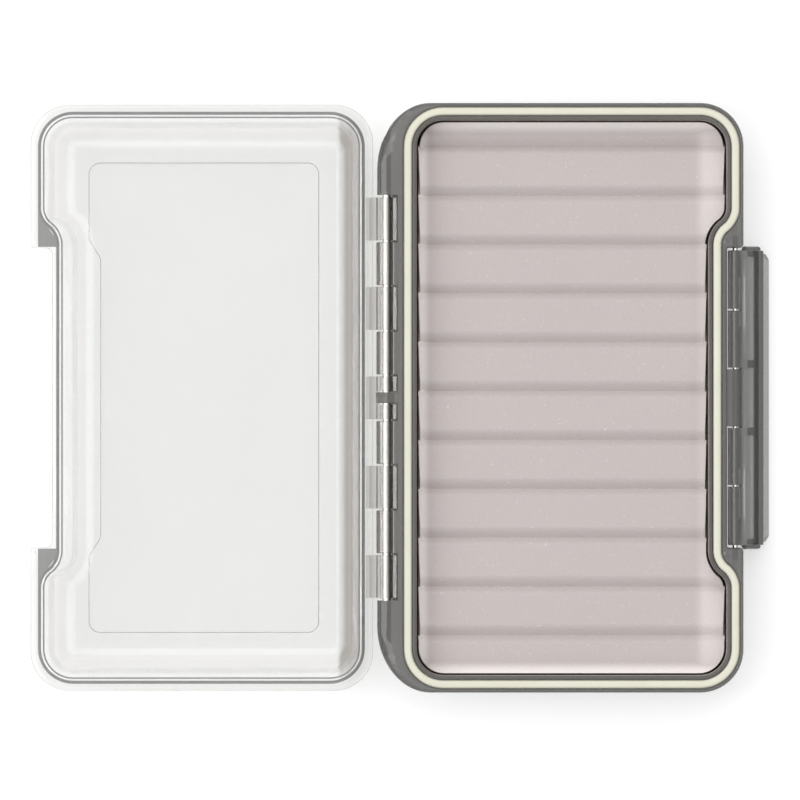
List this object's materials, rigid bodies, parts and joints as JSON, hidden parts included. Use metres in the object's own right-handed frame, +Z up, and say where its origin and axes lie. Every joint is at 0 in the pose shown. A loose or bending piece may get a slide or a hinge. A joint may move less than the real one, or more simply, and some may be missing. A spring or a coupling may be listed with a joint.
{
  "type": "fly box",
  "caption": "Waterproof fishing fly box lying open flat: smoke tray with rippled foam and a rim gasket, a clear lid on a pinned hinge, and a snap latch on its front edge.",
  "frame": {"origin": "centre of the tray's underside, on the surface that the open box lies on", "axes": "+X from the hinge across the tray to the latch, +Y along the box's long side, +Z up; the lid lies open on the -X side"},
  "size_m": [0.1882, 0.15, 0.0202],
  "materials": {
    "smoke_plastic": "translucent smoke grey, gloss",
    "clear_plastic": "clear, gloss",
    "gasket_rubber": "ivory, satin",
    "foam": "closed-cell foam, matte",
    "adhesive_film": "satin",
    "pin_steel": "bright drawn wire",
    "latch_plastic": "translucent dark smoke grey, gloss"
  },
  "bodies": {
    "tray": {"base_tray": "smoke_plastic", "rim_gasket": "gasket_rubber", "ripple_foam": "foam", "foam_adhesive_sheet": "adhesive_film", "hinge_pin": "pin_steel", "latch_pin": "pin_steel"},
    "lid": {"clear_lid": "clear_plastic"},
    "latch": {"front_latch": "latch_plastic"}
  },
  "joints": [
    {"name": "lid_hinge", "type": "hinge", "parent": "tray", "child": "lid", "pos_m": [-0.0442, 0, 0.0176], "axis": [0, 1, 0], "range_deg": [0, 180]},
    {"name": "latch_hinge", "type": "hinge", "parent": "tray", "child": "latch", "pos_m": [0.0446, 0, 0.0161], "axis": [0, -1, 0], "range_deg": [0, 173]}
  ]
}
